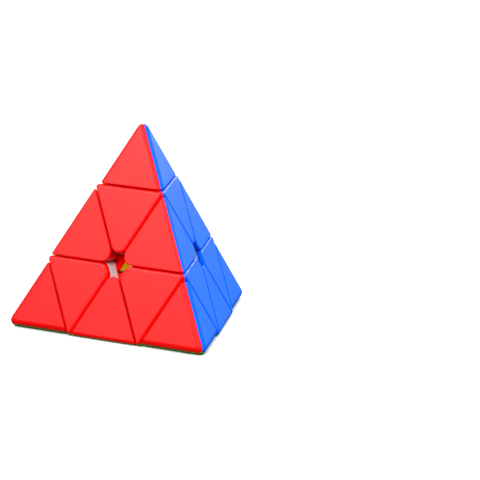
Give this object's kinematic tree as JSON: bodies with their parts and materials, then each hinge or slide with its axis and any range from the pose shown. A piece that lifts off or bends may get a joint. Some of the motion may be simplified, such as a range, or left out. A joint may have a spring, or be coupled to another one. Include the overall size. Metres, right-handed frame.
{
  "type": "pyramid twisty puzzle",
  "caption": "Tetrahedral twisty puzzle with one colour on each face; corner layers and tips turn about a sprung central core.",
  "frame": {"origin": "middle of the core ball, where the four turning axes meet; it is the centre of the pyramid", "axes": "+Z out through the top corner, -Z through the green face that the puzzle stands on; the red face looks to -Y and up; +X to the right of the red face"},
  "size_m": [0.0922, 0.0805, 0.0752],
  "materials": {
    "red_plastic": "fine satin, moulded in",
    "blue_plastic": "fine satin, moulded in",
    "yellow_plastic": "fine satin, moulded in",
    "green_plastic": "fine satin, moulded in",
    "white_plastic": "smooth moulded",
    "steel": "zinc plated",
    "spring_steel": "drawn wire"
  },
  "bodies": {
    "core": {"core": "white_plastic", "axis_screws": "steel", "axis_springs": "spring_steel", "axis_washers": "steel"},
    "axial_top": {"axial_top_frame": "white_plastic", "axial_top_red_panel": "red_plastic", "axial_top_blue_panel": "blue_plastic", "axial_top_yellow_panel": "yellow_plastic"},
    "axial_left": {"axial_left_frame": "white_plastic", "axial_left_red_panel": "red_plastic", "axial_left_yellow_panel": "yellow_plastic", "axial_left_green_panel": "green_plastic"},
    "axial_right": {"axial_right_frame": "white_plastic", "axial_right_red_panel": "red_plastic", "axial_right_blue_panel": "blue_plastic", "axial_right_green_panel": "green_plastic"},
    "axial_back": {"axial_back_frame": "white_plastic", "axial_back_blue_panel": "blue_plastic", "axial_back_yellow_panel": "yellow_plastic", "axial_back_green_panel": "green_plastic"},
    "tip_top": {"tip_top_frame": "white_plastic", "tip_top_red_panel": "red_plastic", "tip_top_blue_panel": "blue_plastic", "tip_top_yellow_panel": "yellow_plastic"},
    "tip_left": {"tip_left_frame": "white_plastic", "tip_left_red_panel": "red_plastic", "tip_left_yellow_panel": "yellow_plastic", "tip_left_green_panel": "green_plastic"},
    "tip_right": {"tip_right_frame": "white_plastic", "tip_right_red_panel": "red_plastic", "tip_right_blue_panel": "blue_plastic", "tip_right_green_panel": "green_plastic"},
    "tip_back": {"tip_back_frame": "white_plastic", "tip_back_blue_panel": "blue_plastic", "tip_back_yellow_panel": "yellow_plastic", "tip_back_green_panel": "green_plastic"},
    "edge_top_left": {"edge_top_left_red_half": "red_plastic", "edge_top_left_yellow_half": "yellow_plastic"},
    "edge_top_right": {"edge_top_right_red_half": "red_plastic", "edge_top_right_blue_half": "blue_plastic"},
    "edge_top_back": {"edge_top_back_blue_half": "blue_plastic", "edge_top_back_yellow_half": "yellow_plastic"},
    "edge_left_right": {"edge_left_right_red_half": "red_plastic", "edge_left_right_green_half": "green_plastic"},
    "edge_right_back": {"edge_right_back_blue_half": "blue_plastic", "edge_right_back_green_half": "green_plastic"},
    "edge_left_back": {"edge_left_back_yellow_half": "yellow_plastic", "edge_left_back_green_half": "green_plastic"}
  },
  "joints": [
    {"name": "layer_top_turn", "type": "hinge", "parent": "core", "child": "axial_top", "pos_m": [0, 0, 0], "axis": [0, 0, 1], "range_deg": [-240, 120]},
    {"name": "layer_left_turn", "type": "hinge", "parent": "core", "child": "axial_left", "pos_m": [0, 0, 0], "axis": [-0.8165, -0.4714, -0.3333], "range_deg": [-240, 120]},
    {"name": "layer_right_turn", "type": "hinge", "parent": "core", "child": "axial_right", "pos_m": [0, 0, 0], "axis": [0.8165, -0.4714, -0.3333], "range_deg": [-240, 120]},
    {"name": "layer_back_turn", "type": "hinge", "parent": "core", "child": "axial_back", "pos_m": [0, 0, 0], "axis": [0, 0.9428, -0.3333], "range_deg": [-240, 120]},
    {"name": "tip_top_turn", "type": "hinge", "parent": "axial_top", "child": "tip_top", "pos_m": [0, 0, 0], "axis": [0, 0, 1], "continuous": true},
    {"name": "tip_left_turn", "type": "hinge", "parent": "axial_left", "child": "tip_left", "pos_m": [0, 0, 0], "axis": [-0.8165, -0.4714, -0.3333], "continuous": true},
    {"name": "tip_right_turn", "type": "hinge", "parent": "axial_right", "child": "tip_right", "pos_m": [0, 0, 0], "axis": [0.8165, -0.4714, -0.3333], "continuous": true},
    {"name": "tip_back_turn", "type": "hinge", "parent": "axial_back", "child": "tip_back", "pos_m": [0, 0, 0], "axis": [0, 0.9428, -0.3333], "continuous": true},
    {"name": "edge_top_left_follow", "type": "hinge", "parent": "axial_top", "child": "edge_top_left", "pos_m": [0, 0, 0], "axis": [-0.8165, -0.4714, -0.3333], "range_deg": [-240, 120]},
    {"name": "edge_top_right_follow", "type": "hinge", "parent": "axial_top", "child": "edge_top_right", "pos_m": [0, 0, 0], "axis": [0.8165, -0.4714, -0.3333], "range_deg": [-240, 120]},
    {"name": "edge_top_back_follow", "type": "hinge", "parent": "axial_top", "child": "edge_top_back", "pos_m": [0, 0, 0], "axis": [0, 0.9428, -0.3333], "range_deg": [-240, 120]},
    {"name": "edge_left_right_follow", "type": "hinge", "parent": "axial_left", "child": "edge_left_right", "pos_m": [0, 0, 0], "axis": [0.8165, -0.4714, -0.3333], "range_deg": [-240, 120]},
    {"name": "edge_right_back_follow", "type": "hinge", "parent": "axial_right", "child": "edge_right_back", "pos_m": [0, 0, 0], "axis": [0, 0.9428, -0.3333], "range_deg": [-240, 120]},
    {"name": "edge_left_back_follow", "type": "hinge", "parent": "axial_back", "child": "edge_left_back", "pos_m": [0, 0, 0], "axis": [-0.8165, -0.4714, -0.3333], "range_deg": [-240, 120]}
  ],
  "couplings": [
    {"joint": "edge_top_left_follow", "follows": "layer_left_turn", "ratio": 1},
    {"joint": "edge_top_right_follow", "follows": "layer_right_turn", "ratio": 1},
    {"joint": "edge_top_back_follow", "follows": "layer_back_turn", "ratio": 1},
    {"joint": "edge_left_right_follow", "follows": "layer_right_turn", "ratio": 1},
    {"joint": "edge_right_back_follow", "follows": "layer_back_turn", "ratio": 1},
    {"joint": "edge_left_back_follow", "follows": "layer_left_turn", "ratio": 1}
  ]
}
